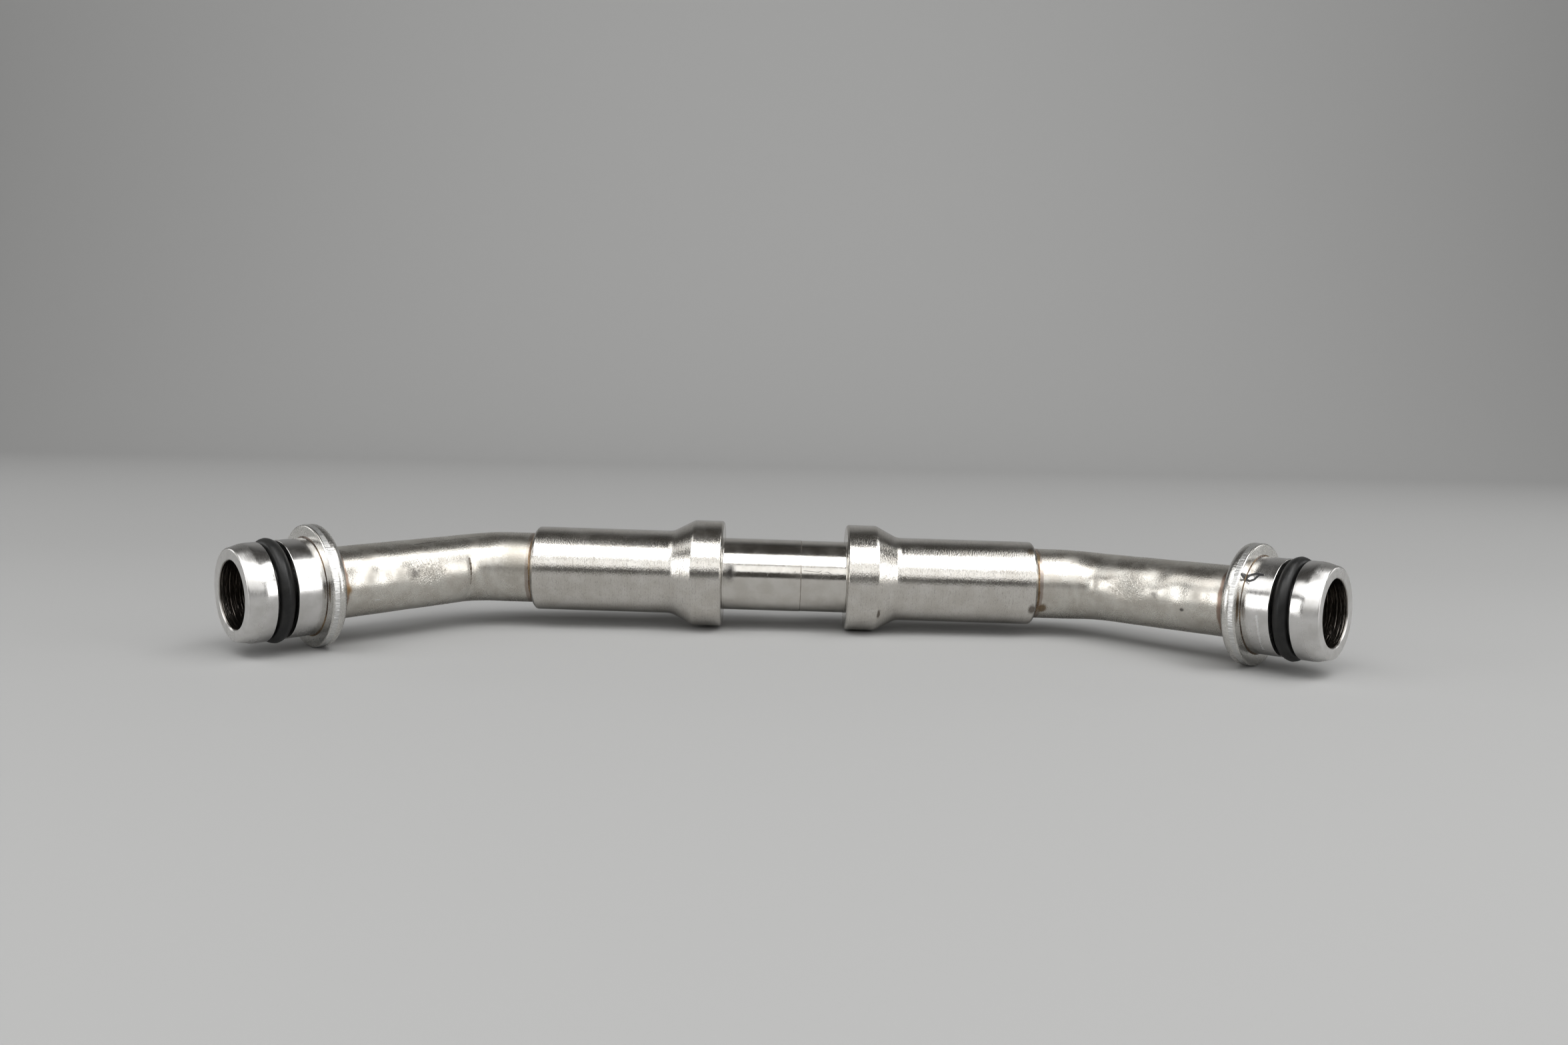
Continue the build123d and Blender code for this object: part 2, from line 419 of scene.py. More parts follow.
centreBody = {
    "waistDiameter": 12.9, "waistLength": 22.0, "collarDiameter": 19.0, "collarWidth": 5.3,
    "collarChamfer": 0.35, "coneLength": 3.9, "sleeveDiameter": 14.9, "sleeveLength": 24.5,
    "sleeveChamfer": 0.45, "sleeveEdge": 0.2, "socketDepth": 18.0, "socketDiameter": 12.6,
    "boreDiameter": 10.5, "passLine": 3.0, "passStep": 0.05, "passGroove": 0.04, "passGrooveWidth": 0.12,
    "toolCorner": 0.22, "edgeBreak": 0.09, "coneBlend": 0.6, "steps": 224,
    "waistGrain": 0.35, "waistGloss": -0.05, "waistFade": (0.6, 0.3),  # the waist is smoother than the rest
    "steel": {
        "light": (0.66, 0.64, 0.60, 1), "dark": (0.58, 0.555, 0.51, 1), "roughness": 0.14, "spread": 0.06,
        "pitSize": 0.15, "pitLength": 0.38, "linePitch": 0.15, "lineShare": 0.38,
        "depth": 0.048, "pits": 0.28,
    },
    # the stain along the line where the two turning passes meet
    "seam": {
        "offset": 0.1, "halfWidth": 0.14, "core": 0.05, "patchScale": 0.35,
        "colour": (0.16, 0.11, 0.08, 1), "roughness": 0.4, "metallic": 0.8, "amount": 0.4,
    },
    # marks on the near side: along, radius and degrees above the horizontal, then size
    "marks": [
        {"kind": "stain", "at": (43.6, 7.45, 57), "size": (0.8, 1.1, 1.1), "amount": 0.8},
        {"kind": "scorch", "at": (43.8, 7.45, -29.6), "size": (0.85, 1.35, 1.35), "amount": 0.8},
        {"kind": "scorch", "at": (16.7, 9.3, -33.8), "size": (0.4, 1.4, 1.4), "amount": 0.85},
        # the next two are painted reflection: the collar face's dark mirror image on the waist beside it
        {"kind": "paintedCollarReflection", "at": (-9.6, 6.45, 12), "size": (1.4, 2.3, 2.3), "soft": 0.95, "amount": 0.95},
        {"kind": "paintedCollarReflection", "at": (-10.6, 6.45, 9), "size": (1.2, 2.6, 2.6), "soft": 1.0, "amount": 0.4},
    ],
    # fine dark scratches on the waist, as pairs of points: along, and degrees above the horizontal
    "scratch": {"kind": "soot", "size": 0.12, "ragged": 0.3, "amount": 0.7},
    "scratches": [
        ((3.4, 17.3), (6.0, 15.6)), ((6.0, 15.6), (6.5, 17.9)), ((6.4, 14.4), (6.7, 11.6)),
        ((7.2, 15.9), (7.6, 16.4)), ((7.6, 16.4), (8.3, 12.7)), ((6.5, 6.1), (7.2, 11.8)),
        ((7.2, 11.8), (8.1, 9.9)), ((8.9, 6.7), (10.2, 9.8)), ((1.8, 13.5), (1.9, 16.3)),
        ((-3.0, 7.5), (-2.9, 10.0)),
    ],
}
centreBody["collarStart"] = centreBody["waistLength"] / 2
centreBody["coneStart"] = centreBody["collarStart"] + centreBody["collarWidth"]
centreBody["sleeveStart"] = centreBody["coneStart"] + centreBody["coneLength"]
centreBody["end"] = centreBody["sleeveStart"] + centreBody["sleeveLength"]
centreBody["socketFloor"] = centreBody["end"] - centreBody["socketDepth"]
centreBody["place"] = placeOf(mounts["waist_seat"]["pos_m"], mounts["waist_seat"]["axis"], (0, 1, 0))


def bodyHalf(body, waist):
    collar, sleeve = body["collarDiameter"] / 2, body["sleeveDiameter"] / 2
    chamfer, edge = body["collarChamfer"], body["edgeBreak"]
    return [
        (body["collarStart"], waist, body["toolCorner"]),
        (body["collarStart"], collar - chamfer, edge),
        (body["collarStart"] + chamfer, collar, edge),
        (body["coneStart"], collar, body["coneBlend"] / 2),
        (body["sleeveStart"], sleeve, body["coneBlend"]),
        (body["end"] - body["sleeveChamfer"], sleeve, body["sleeveEdge"]),
        (body["end"], sleeve - body["sleeveChamfer"], body["sleeveEdge"]),
        (body["end"], body["socketDiameter"] / 2, 0),
        (body["socketFloor"], body["socketDiameter"] / 2, 0),
        (body["socketFloor"], body["boreDiameter"] / 2, 0),
    ]


def makeCentreBody(body):
    waist = body["waistDiameter"] / 2
    left = [(-along, radius, corner) for along, radius, corner in reversed(bodyHalf(body, waist))]
    grooveFloor = waist - body["passStep"] - body["passGroove"]
    passLine = [
        (body["passLine"] - body["passGrooveWidth"], waist, 0),
        (body["passLine"] - body["passGrooveWidth"] / 2, grooveFloor, 0),
        (body["passLine"], waist - body["passStep"], 0),
    ]
    bm = outlineOf(left + passLine + bodyHalf(body, waist - body["passStep"]))
    spinOutline(bm, body["steps"])
    material = bodySteel(body, waist)
    finishPiece(bm, "centreBody", body["place"], material, "centre_body")


def bodySteel(body, waist):
    marks = [{**mark, "at": onFront(*mark["at"])} for mark in body["marks"]]
    scratched = waist - body["passStep"] / 2
    for start, end in body["scratches"]:
        places = {"at": onFront(start[0], scratched, start[1]), "to": onFront(end[0], scratched, end[1])}
        marks.append({**body["scratch"], **places})

    def extra(made):
        # the waist is smoother than the sleeves, and the line where its passes meet is stained
        tree, stain = made.tree, body["seam"]
        along, across = alongAndAcross(made)
        onWaist = rescale(tree, across, *(waist + height for height in body["waistFade"]))
        fromMiddle = calc(tree, "SUBTRACT", made.height, 0.5)
        calmer = calc(tree, "MULTIPLY_ADD", fromMiddle, body["waistGrain"], 0.5)
        made.height = blendValue(tree, onWaist, made.height, calmer)
        made.roughness = calc(tree, "MULTIPLY_ADD", onWaist, body["waistGloss"], made.roughness)
        fromSeam = calc(tree, "ABSOLUTE", calc(tree, "SUBTRACT", along, body["passLine"] - stain["offset"]))
        patches = rescale(tree, noiseValue(tree, made.where, stain["patchScale"]), 0.4, 0.6)
        seam = calc(tree, "MULTIPLY", rescale(tree, fromSeam, stain["halfWidth"], stain["core"]), patches)
        made.cover(calc(tree, "MULTIPLY", seam, onWaist), stain["colour"], stain["roughness"],
                   stain["metallic"], stain["amount"])

    return steel("turnedSteel", body["steel"], body["place"], marks, extra)


# Bent tubes; along the tube is measured from the middle of the centre body

# painted shade: a soft dark cloud where a tube's highlight breaks up
paintedShadeCloud = {"kind": "soot", "soft": 1.0, "ragged": 0.6}
roughCloud = {"kind": "rough", "soft": 1.0}
tube = {
    "diameter": 12.5, "wall": 1.0, "drawnDiameter": 11.9, "lead": 5.1, "bendRadius": 12.0, "bend": 45.0,
    "tail": 24.3, "spigotSocket": 3.2, "steps": 176, "outsideCuts": 190, "insideCuts": 60,
    "steel": {
        "light": (0.65, 0.63, 0.58, 1), "dark": (0.54, 0.51, 0.46, 1), "roughness": 0.24, "spread": 0.07,
        "pitSize": 0.26, "pitLength": 0.26, "linePitch": 0.5, "lineShare": 0.05,
        "depth": 0.022, "pits": 0.12,
    },
    # hollows from bending and handling, or swells if negative: along, angle, depth, length, width
    "hollows": {
        "right": [
            (64.6, -6, 0.24, 1.5, 1.5), (70.2, -33, 0.22, 1.5, 1.5), (71.0, -4, -0.10, 1.2, 1.4),
            (74.4, -10, 0.22, 1.4, 1.7), (80.9, -12, 0.12, 1.0, 1.8),
        ],
        "left": [
            (69.4, 13, 0.16, 1.5, 1.8), (75.8, 14, 0.14, 1.1, 1.7), (80.0, 15, 0.14, 1.1, 1.7),
            (64.8, 8, 0.08, 2.0, 2.0), (76.5, 40, 0.08, 1.8, 2.2),
        ],
    },
    # pressed wrinkles on the bend: along, angle, length, width, height
    "wrinkles": {"right": (66.0, -10, 4.0, 3.4, 0.022), "left": (68.0, 12, 4.5, 3.0, 0.012)},
    "wrinkleScale": 1.9,
    "waves": {"height": 0.035, "along": 0.22, "around": 0.16},
    # the dent line of the bending die on the left tube, and the dark strokes along it: stroke width, start
    # and end angle
    "dieMark": {
        "at": 59.8, "width": 0.30, "depth": 0.09, "from": -52, "to": 32, "fade": 12,
        "stain": [(0.42, 27, 18), (0.50, 18, 9), (0.36, 9, 0), (0.18, 0, -9), (0.14, -9, -18)],
    },
    # worm-like wrinkles in the metal where the bend was pressed, and the heat tints at the brazed ends
    "worms": {
        "right": (66.0, -10), "left": (68.0, 10), "size": (4.6, 3.8, 3.8), "scale": 2.6, "distortion": 1.4,
        "low": -1.0, "high": 2.0, "roughness": 0.08,
    },
    "tint": {
        "sleeveReach": 1.1, "sleeveAmount": 0.55, "roughness": 0.34, "metallic": 0.95,
        "flangeReach": {"right": 2.3, "left": 2.0}, "flangeAmount": 0.85,
    },
    # marks on the tubes: along and degrees round, then size
    "marks": {
        "right": [
            {"kind": "stain", "at": (45.9, 39), "size": (1.15, 1.4, 1.4), "amount": 0.9},
            {"kind": "scorch", "at": (61.3, -21.4), "size": (0.5, 0.42, 0.42), "amount": 0.45},
            {"kind": "soot", "at": (75.4, 16), "size": (0.5, 0.42, 0.42), "amount": 0.85},
            # painted shade: a dark cloud between bright spots of the tail's highlight
            {**paintedShadeCloud, "at": (70.6, -4), "size": (1.3, 1.0, 1.0), "amount": 0.7},
            {**roughCloud, "at": (77.7, -10), "size": (1.5, 2.2, 2.2), "amount": 0.9},
            # painted shade: a dark cloud where the lead's highlight ends at the bend
            {**paintedShadeCloud, "at": (59.6, -9), "size": (1.2, 1.9, 1.9), "amount": 0.45},
        ],
        "left": [
            {"kind": "soot", "at": (68.4, 67.9), "to": (64.4, 70.6), "size": 0.26, "amount": 0.9},
            {"kind": "soot", "at": (64.4, 70.6), "to": (55.3, 73.2), "size": 0.17, "amount": 0.8},
            # painted shade: a dark cloud between bright spots of the tail's highlight
            {**paintedShadeCloud, "at": (70.4, 12), "size": (1.7, 1.6, 1.6), "ragged": 0.5, "amount": 0.65},
            {**roughCloud, "at": (77.9, 14), "size": (1.3, 2.0, 2.0), "amount": 0.9},
            {**roughCloud, "at": (72.8, 12), "size": (1.5, 2.0, 2.0), "amount": 0.7},
            {"kind": "dull", "at": (47.6, 30), "size": (4.6, 5.0, 5.0), "soft": 0.9, "ragged": 0.5},
            {"kind": "gold", "at": (81.7, -2), "radius": 5.95, "size": (0.8, 1.5, 1.5), "soft": 0.8},
            {"kind": "rub", "at": (76.3, -24.8), "to": (77.1, -24.4), "size": 0.14},
        ],
    },
}
tube["start"] = centreBody["socketFloor"]
tube["bendStart"] = centreBody["end"] + tube["lead"]
tube["bendEnd"] = tube["bendStart"] + tube["bendRadius"] * math.radians(tube["bend"])
tube["tailEnd"] = tube["bendEnd"] + tube["tail"]
tube["end"] = tube["tailEnd"] + tube["spigotSocket"]


def bent(point):
    # where a point of the straight tube goes when the tube is bent
    turn = min(max(point.x - tube["bendStart"], 0) / tube["bendRadius"], math.radians(tube["bend"]))
    straight = min(point.x, tube["bendStart"])
    past = max(point.x - tube["bendEnd"], 0)
    across = tube["bendRadius"] - point.y
    return Vector((
        straight + across * math.sin(turn) + past * math.cos(turn),
        tube["bendRadius"] - across * math.cos(turn) + past * math.sin(turn),
        point.z,
    ))


def angleGap(a, b):
    return (a - b + 180) % 360 - 180


def tubeSurface(side, point):
    # the tube is drawn down round the bend, and has its hollows, wrinkles and waves
    radius = math.hypot(point.y, point.z)
    share = min(max((point.x - tube["bendStart"]) / (tube["bendEnd"] - tube["bendStart"]), 0), 1)
    drawn = (tube["diameter"] - tube["drawnDiameter"]) / 2 * share * share * (3 - 2 * share)
    angle = degreesOf(point)
    push = -drawn
    for along, degrees, depth, length, width in tube["hollows"][side]:
        around = math.radians(angleGap(angle, degrees)) * radius
        push -= depth * math.exp(-((point.x - along) / length) ** 2 / 2 - (around / width) ** 2 / 2)
    along, degrees, length, width, height = tube["wrinkles"][side]
    around = math.radians(angleGap(angle, degrees)) * radius
    patch = math.exp(-((point.x - along) / length) ** 4 - (around / width) ** 4)
    push += height * patch * noise.noise(point * tube["wrinkleScale"])
    bending = min(max((point.x - tube["bendStart"] + 2) / 4, 0), 1)
    waves, die = tube["waves"], tube["dieMark"]
    across = Vector((point.x * waves["along"], point.y * waves["around"], point.z * waves["around"]))
    push += waves["height"] * bending * noise.noise(across)
    if side == "left" and die["from"] < angle < die["to"]:
        fade = min(angle - die["from"], die["to"] - angle, die["fade"]) / die["fade"]
        push -= die["depth"] * fade * math.exp(-((point.x - die["at"]) / die["width"]) ** 2)
    return pushOut(point, push)


def makeTube(side, place):
    outside, inside = tube["diameter"] / 2, tube["diameter"] / 2 - tube["wall"]
    bm = outlineOf([(tube["start"], outside, 0), (tube["end"], outside, 0),
                    (tube["end"], inside, 0), (tube["start"], inside, 0)])
    splitRun(bm, outside, tube["outsideCuts"])
    splitRun(bm, inside, tube["insideCuts"])
    spinOutline(bm, tube["steps"])
    straight = bm.verts.layers.float_vector.new(straightLayer)
    for vert in bm.verts:
        vert[straight] = vert.co
        vert.co = bent(tubeSurface(side, vert.co))
    material = tubeSteel(side)
    finishPiece(bm, side + "Tube", place, material, side + "_tube", sharp=50)


def placeMark(mark, radius):
    # turns a mark's places along and round a tube into points
    radius = mark.get("radius", radius)
    ends = {end: onRound(mark[end][0], radius, mark[end][1]) for end in ("at", "to") if end in mark}
    return {**mark, **ends}


def tubeSteel(side):
    radius = tube["diameter"] / 2
    marks = [placeMark(mark, radius) for mark in tube["marks"][side]]
    if side == "left":
        at = tube["dieMark"]["at"]
        for width, start, end in tube["dieMark"]["stain"]:
            stroke = {"kind": "scorch", "at": (at, start), "to": (at, end), "size": width, "amount": 0.8}
            marks.append(placeMark(stroke, radius))

    def extra(made):
        tree, worms, tint = made.tree, tube["worms"], tube["tint"]
        patch = made.group("spot", Centre=onRound(worms[side][0], radius, worms[side][1]), Size=worms["size"],
                           Raggedness=0.5, Softness=1.0)["Mask"]
        wriggles = put(tree, "ShaderNodeTexNoise", {
            "Vector": made.where, "Scale": worms["scale"], "Detail": 3.0, "Roughness": 0.55,
            "Distortion": worms["distortion"],
        }).outputs[0]
        ridges = rescale(tree, wriggles, 0.3, 0.7, worms["low"], worms["high"])
        made.height = blendValue(tree, patch, made.height, ridges)
        made.roughness = calc(tree, "MULTIPLY_ADD", patch, worms["roughness"], made.roughness)
        paintedBoreShade(made, radius - tube["wall"])
        along = alongAndAcross(made)[0]
        fromSleeve = calc(tree, "SUBTRACT", along, centreBody["end"])
        fromFlange = calc(tree, "SUBTRACT", tube["tailEnd"], along)
        for distance, reach, amount in (
            (fromSleeve, tint["sleeveReach"], tint["sleeveAmount"]),
            (fromFlange, tint["flangeReach"][side], tint["flangeAmount"]),
        ):
            heat = made.group("heat", Distance=distance, Reach=reach)
            made.cover(heat["Mask"], heat["Color"], tint["roughness"], tint["metallic"], amount)

    return steel(side + "DrawnSteel", tube["steel"], None, marks, extra)


# Spigots, measured from the front face of the flange ring

spigot = {
    "diameter": 15.8, "bore": 10.8, "seat": 4.4, "groove": 3.1, "grooveDiameter": 12.0, "land": 2.0,
    "nose": 2.2, "noseDiameter": 14.6, "noseShoulder": 0.5, "noseEdge": 0.25, "mouthChamfer": 0.25,
    "mouthEdge": 0.04, "back": 2.5, "tubeStop": 0.7, "socketDiameter": 12.0, "mouthCentre": 6.075,
    "edgeBreak": 0.12, "steps": 224,
    "noseDullness": 0.09, "noseFade": (-0.2, 0.3),  # the nose is duller than the seat
    "steel": {
        "light": (0.68, 0.67, 0.655, 1), "dark": (0.58, 0.57, 0.55, 1), "roughness": 0.17, "spread": 0.07,
        "pitSize": 0.24, "pitLength": 0.60, "linePitch": 0.14, "lineShare": 0.45,
        "depth": 0.016, "pits": 0.04,
    },
    # lines drawn on the right end, through points of along, radius and degrees
    "penTick": [
        {"width": 0.60, "points": [(0.0, 9.62, -33.7), (0.03, 7.9, -34.9), (0.33, 7.9, -40.4),
                                   (1.36, 7.9, -44.1), (2.35, 7.9, -43.2)]},
        {"width": 0.45, "points": [(0.05, 7.9, -34.9), (0.75, 7.9, -33.2), (1.33, 7.9, -35.6),
                                   (1.61, 7.9, -39.2), (1.9, 7.9, -42.8)]},
    ],
    "rub": {
        "width": 0.34, "points": [(2.59, 7.9, 6.9), (2.74, 7.9, 18.7), (2.76, 7.9, 36.8), (2.63, 7.9, 55.6)],
    },
}
spigot["grooveFront"] = spigot["seat"] + spigot["groove"]
spigot["landEnd"] = spigot["grooveFront"] + spigot["land"]
spigot["mouth"] = spigot["landEnd"] + spigot["nose"]


def lineMarks(line, **look):
    placed = [onRound(*point) for point in line["points"]]
    return [{"at": start, "to": end, "size": line["width"], **look} for start, end in zip(placed, placed[1:])]


def penMarks(side):
    # the pen tick crosses the right flange ring and spigot
    if side == "left":
        return []
    return [stroke for line in spigot["penTick"] for stroke in lineMarks(line, kind="ink", ragged=0.35)]


def makeSpigot(side, place):
    seat, groove, bore = spigot["diameter"] / 2, spigot["grooveDiameter"] / 2, spigot["bore"] / 2
    socket, edge = spigot["socketDiameter"] / 2, spigot["edgeBreak"]
    bm = outlineOf([
        (-spigot["back"], socket, 0),
        (-spigot["back"], seat, 0),
        (spigot["seat"], seat, edge),
        (spigot["seat"], groove, edge),
        (spigot["grooveFront"], groove, edge),
        (spigot["grooveFront"], seat, edge),
        (spigot["landEnd"], seat, spigot["noseShoulder"]),
        (spigot["mouth"], spigot["noseDiameter"] / 2, spigot["noseEdge"]),
        (spigot["mouth"], bore + spigot["mouthChamfer"], spigot["mouthEdge"]),
        (spigot["mouth"] - spigot["mouthChamfer"], bore, spigot["mouthEdge"]),
        (spigot["tubeStop"], bore, 0),
        (spigot["tubeStop"], socket, 0),
    ])
    spinOutline(bm, spigot["steps"])
    marks = penMarks(side)
    if side == "right":
        marks += lineMarks(spigot["rub"], kind="rub", ragged=1.2, amount=0.65)

    def extra(made):
        along = alongAndAcross(made)[0]
        nose = rescale(made.tree, along, *(spigot["landEnd"] + offset for offset in spigot["noseFade"]))
        made.roughness = calc(made.tree, "MULTIPLY_ADD", nose, spigot["noseDullness"], made.roughness)
        paintedBoreShade(made, bore)

    material = steel(side + "SpigotSteel", spigot["steel"], place, marks, extra)
    finishPiece(bm, side + "Spigot", place, material, side + "_spigot")


# Flange rings: the punch rolled the back edge, sheared the middle and left a lip at the front

flangeRing = {
    "diameter": 20.0, "thickness": 2.5, "hole": 15.9, "countersink": 0.2, "roll": 0.9, "lip": 0.3,
    "shearWidth": 1.1, "shearStep": 0.02, "shearSlope": 0.06, "shearRows": 4, "steps": 640,
    "seed": {"right": 11, "left": 47},
    "steel": {
        "light": (0.68, 0.67, 0.64, 1), "dark": (0.58, 0.57, 0.54, 1), "roughness": 0.20, "spread": 0.08,
        "pitSize": 0.24, "pitLength": 0.24, "linePitch": 0.2, "lineShare": 0.10,
        "depth": 0.016, "pits": 0.20,
    },
    # what shearing left on the rim: torn lines across it, an uneven border, and chips out of the lip;
    # each pattern has a frequency round the ring and a share of the depth
    "shearing": {
        "depth": 0.026, "level": -0.3, "torn": (34, 0.6), "fine": (80, 0.5), "tornAlong": 0.5,
        "fineAlong": 1.2, "border": 0.14, "slow": (5, 1.0), "quick": (16, 0.4),
        "chipDepth": 0.015, "chipLevel": -0.02, "chips": (9, 1.0), "smallChips": (30, 0.5),
    },
    "frost": {
        "colour": (0.70, 0.70, 0.69, 1), "roughness": 0.32, "metallic": 0.97, "amount": 0.9,
        "tearLength": 1.6, "tearWidth": 0.17, "low": -0.8, "high": 1.8,
        "rimFade": (-0.25, -0.12), "backFade": (-0.05, 0.1), "frontFade": (0.06, -0.06),
    },
    # brown stains beside the filler, at along, radius and degrees
    "marks": {
        "right": [
            {"kind": "stain", "at": (0, 8.95, -2), "size": (0.5, 0.75, 3.6), "soft": 0.6},
            {"kind": "stain", "at": (0, 8.8, -52), "size": (0.5, 1.1, 1.1), "soft": 0.9, "amount": 0.6},
        ],
        "left": [{"kind": "stain", "at": (0, 8.7, 4), "size": (0.5, 0.6, 2.4), "soft": 0.7}],
    },
}


def shearRim(bm, seed):
    # roughens the rim of a flange ring, except its rolled back edge
    ring, shearing = flangeRing, flangeRing["shearing"]
    shear = ring["diameter"] / 2 - ring["shearStep"]

    def pattern(name, angle, along, offset):
        frequency, share = shearing[name]
        return share * noise.noise(Vector((angle * frequency, along, offset)))

    for vert in bm.verts:
        point = vert.co.copy()
        angle = math.radians(degreesOf(point))
        if math.hypot(point.y, point.z) <= shear - 0.01:
            continue
        if -ring["shearWidth"] - 0.1 < point.x < -ring["lip"] - 0.02:
            lines = pattern("torn", angle, point.x * shearing["tornAlong"], seed)
            lines += pattern("fine", angle, point.x * shearing["fineAlong"], seed + 5)
            moved = pushOut(point, shearing["depth"] * (lines + shearing["level"]))
            nearBack = min(max(-point.x / ring["shearWidth"], 0), 1) ** 3
            waves = pattern("slow", angle, seed, 0) + pattern("quick", angle, seed, 3)
            moved.x += shearing["border"] * nearBack * waves
            vert.co = moved
        elif point.x > -ring["lip"] - 0.02:
            chips = pattern("chips", angle, seed + 9, 0) + pattern("smallChips", angle, seed, 7)
            vert.co = pushOut(point, shearing["chipLevel"] + shearing["chipDepth"] * chips)


def makeFlangeRing(side, place):
    ring = flangeRing
    rim, hole = ring["diameter"] / 2, ring["hole"] / 2
    shear = rim - ring["shearStep"]
    bm = outlineOf([
        (-ring["thickness"], hole, 0),
        (-ring["thickness"], rim, ring["roll"]),
        (-ring["shearWidth"] - ring["shearSlope"], rim, 0),
        (-ring["shearWidth"], shear, 0),
        (-ring["lip"] - ring["shearSlope"], shear, 0),
        (0, rim, ring["lip"]),
        (0, hole + ring["countersink"], 0),
        (-ring["countersink"], hole, 0),
    ], rounding=5)
    splitRun(bm, shear, ring["shearRows"])
    spinOutline(bm, ring["steps"])
    shearRim(bm, ring["seed"][side])
    material = ringSteel(side, place)
    finishPiece(bm, side + "FlangeRing", place, material, side + "_flange_ring", sharp=38)


def ringSteel(side, place):
    ring, look = flangeRing, flangeRing["frost"]
    browned = [{**mark, "at": onRound(*mark["at"])} for mark in ring["marks"][side]]

    def extra(made):
        # the sheared part of the rim is frosty
        tree = made.tree
        along, across = alongAndAcross(made)
        onRim = rescale(tree, across, *(ring["diameter"] / 2 + offset for offset in look["rimFade"]))
        back = rescale(tree, along, *(-ring["shearWidth"] + offset for offset in look["backFade"]))
        front = rescale(tree, along, *(-ring["lip"] + offset for offset in look["frontFade"]))
        sheared = calc(tree, "MULTIPLY", onRim, calc(tree, "MULTIPLY", back, front))
        acrossTears = stretched(tree, made.where, look["tearLength"], look["tearWidth"])
        tears = noiseValue(tree, acrossTears, 1.0, 2.0, 0.6)
        torn = rescale(tree, tears, 0.25, 0.75, look["low"], look["high"])
        made.height = blendValue(tree, sheared, made.height, torn)
        made.cover(sheared, look["colour"], look["roughness"], look["metallic"], look["amount"])

    return steel(side + "StampedSteel", ring["steel"], place, browned + penMarks(side), extra)


# Brazed joints: thin uneven rings of golden filler metal

braze = {
    "sleeveFillet": 0.42, "tailFillet": 0.62, "steps": 288, "sunk": 0.04, "hollow": 0.42, "rounding": 0.25,
    "swell": 0.35, "swellWaves": 2.4, "ripple": 0.2, "rippleWaves": 9,
    "flangeLip": {
        "proud": 0.05, "sunk": 0.03, "overlap": 0.02, "rounding": 0.1,
        "swell": 0.8, "swellWaves": 3, "ripple": 0.5, "rippleWaves": 14,
    },
    # thicker places in the fillets: degrees round, growth, width in degrees
    "blobs": {
        "right": {"sleeve": [(-60, 0.9, 14), (20, 0.4, 20)], "tail": [(0, 0.2, 30)]},
        "left": {"sleeve": [(30, 0.3, 25)], "tail": [(-2, 0.45, 16)]},
    },
    "metal": {
        "pitSize": 0.5, "roughness": 0.22, "spread": 0.18, "hotMetallic": -0.1, "depth": 0.02,
        "joint": {
            "gold": (0.66, 0.51, 0.32, 1), "dull": (0.52, 0.38, 0.24, 1), "hot": (0.30, 0.20, 0.145, 1),
            "patch": 0.55, "cool": 0.38, "burnt": 0.62,
        },
        "flange": {
            "gold": (0.46, 0.33, 0.19, 1), "dull": (0.30, 0.21, 0.13, 1), "hot": (0.09, 0.065, 0.05, 1),
            "patch": 0.20, "cool": 0.36, "burnt": 0.56,
        },
    },
}


def brazeMetal(name, joint):
    look = {**braze["metal"], **braze["metal"][joint]}
    made = Finish(name, centreBody["place"])
    tree = made.tree
    grain = made.group("grain", Pit_Size=look["pitSize"], Pit_Length=look["pitSize"], Line_Share=0.0)
    hot = rescale(tree, noiseValue(tree, made.where, look["patch"], 3.0, 0.6), look["cool"], look["burnt"])
    gold = blendColour(tree, grain["Patches"], look["gold"], look["dull"])
    made.colour = blendColour(tree, hot, gold, look["hot"])
    made.roughness = rescale(tree, grain["Height"], 0.3, 0.7, look["roughness"],
                             look["roughness"] + look["spread"])
    made.metallic = calc(tree, "MULTIPLY_ADD", hot, look["hotMetallic"], 1.0)
    made.height = grain["Height"]
    return made.finish(look["depth"])


def roundNoise(angle, waves, offset):
    # noise that meets itself after a full turn
    return noise.noise(Vector((math.cos(angle) * waves, math.sin(angle) * waves, offset)))


def brazeRing(name, corner, size, direction, place, node, material, blobs):
    # a fillet in the corner at (along, radius), uneven round the ring
    along, radius = corner
    sunk, hollow = braze["sunk"], braze["hollow"]
    bm = outlineOf([
        (along - direction * sunk, radius - sunk, 0),
        (along + direction * size, radius - sunk, 0),
        (along + direction * size * hollow, radius + size * hollow, size * braze["rounding"]),
        (along - direction * sunk, radius + size, 0),
    ])
    spinOutline(bm, braze["steps"])
    for vert in bm.verts:
        point = vert.co.copy()
        angle = math.radians(degreesOf(point))
        swell = 1 + braze["swell"] * roundNoise(angle, braze["swellWaves"], size * 9)
        swell += braze["ripple"] * roundNoise(angle, braze["rippleWaves"], size * 5)
        for degrees, growth, width in blobs:
            swell += growth * math.exp(-(angleGap(math.degrees(angle), degrees) / width) ** 2 / 2)
        height = math.hypot(point.y, point.z) - radius
        moved = pushOut(point, max(height, 0) * (swell - 1))
        moved.x = along + (point.x - along) * (swell if (point.x - along) * direction > 0 else 1)
        vert.co = moved
    finishPiece(bm, name, place, material, node, sharp=60)


